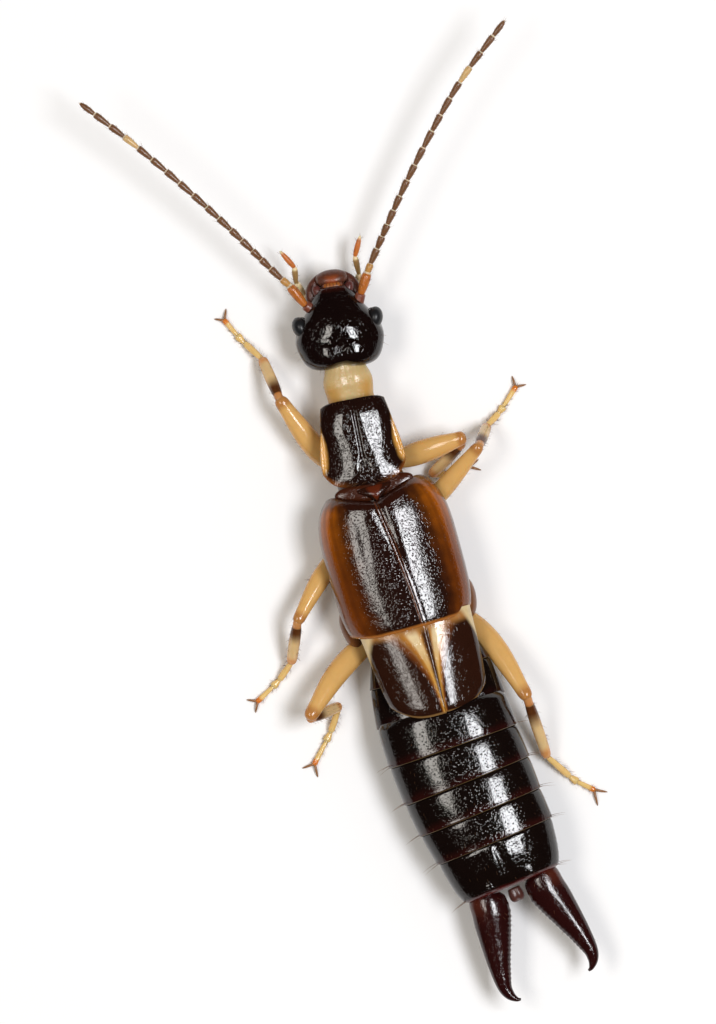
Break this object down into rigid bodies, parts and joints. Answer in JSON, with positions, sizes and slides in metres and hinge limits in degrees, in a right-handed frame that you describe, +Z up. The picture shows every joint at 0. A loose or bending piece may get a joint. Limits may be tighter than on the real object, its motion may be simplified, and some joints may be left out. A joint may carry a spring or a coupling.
{
  "type": "earwig insect model",
  "caption": "Life-size still model of a standing winged earwig with long beaded feelers, folded wings, a ringed abdomen and a pair of tail forceps.",
  "frame": {"origin": "on the floor plane under the middle of the overall box of the animal, feelers and forceps included", "axes": "+Z up from the floor; the head points toward -Y and the tail toward +Y; +X is the animal's left side"},
  "size_m": [0.0116, 0.0261, 0.0026],
  "materials": {
    "head_shell": "glossy black-brown shell with fine pits",
    "mouth_shell": "glossy red-brown mouthparts",
    "eye_shell": "dark grey faceted eye",
    "neck_skin": "soft cream neck skin",
    "back_shell": "glossy dark shield with amber margins",
    "wing_case": "glossy dark wing case with an amber-brown outer band",
    "wing_fold": "folded wing tip, dark with a gold and cream inner field",
    "abdomen_shell": "glossy black-brown rings with fine pits",
    "forceps_shell": "glossy dark red-brown forceps",
    "leg_shell": "translucent amber-yellow leg with a dark band at the shin",
    "feeler_shell": "brown feeler joints with one pale joint"
  },
  "bodies": {
    "root": {"abdomen_1": "abdomen_shell", "abdomen_2": "abdomen_shell", "abdomen_3": "abdomen_shell", "abdomen_4": "abdomen_shell", "abdomen_5": "abdomen_shell", "abdomen_6": "abdomen_shell", "abdomen_last": "abdomen_shell", "antenna_left_base": "feeler_shell", "antenna_left_lash": "feeler_shell", "antenna_right_base": "feeler_shell", "antenna_right_lash": "feeler_shell", "coxa_front_left": "leg_shell", "coxa_front_right": "leg_shell", "coxa_hind_left": "leg_shell", "coxa_hind_right": "leg_shell", "coxa_middle_left": "leg_shell", "coxa_middle_right": "leg_shell", "eye_left": "eye_shell", "eye_right": "eye_shell", "femur_front_left": "leg_shell", "femur_front_right": "leg_shell", "femur_hind_left": "leg_shell", "femur_hind_right": "leg_shell", "femur_middle_left": "leg_shell", "femur_middle_right": "leg_shell", "forceps_left": "forceps_shell", "forceps_right": "forceps_shell", "head_capsule": "head_shell", "labium": "mouth_shell", "labrum": "mouth_shell", "mandible_left": "mouth_shell", "mandible_right": "mouth_shell", "neck": "neck_skin", "palp_left": "mouth_shell", "palp_right": "mouth_shell", "pronotum": "back_shell", "prothorax": "head_shell", "pygidium": "forceps_shell", "scutellum": "back_shell", "tarsus_front_left": "leg_shell", "tarsus_front_right": "leg_shell", "tarsus_hind_left": "leg_shell", "tarsus_hind_right": "leg_shell", "tarsus_middle_left": "leg_shell", "tarsus_middle_right": "leg_shell", "tegmen_left": "wing_case", "tegmen_right": "wing_case", "thorax": "head_shell", "tibia_front_left": "leg_shell", "tibia_front_right": "leg_shell", "tibia_hind_left": "leg_shell", "tibia_hind_right": "leg_shell", "tibia_middle_left": "leg_shell", "tibia_middle_right": "leg_shell", "wing_tip_left": "wing_fold", "wing_tip_right": "wing_fold"}
  },
  "joints": []
}
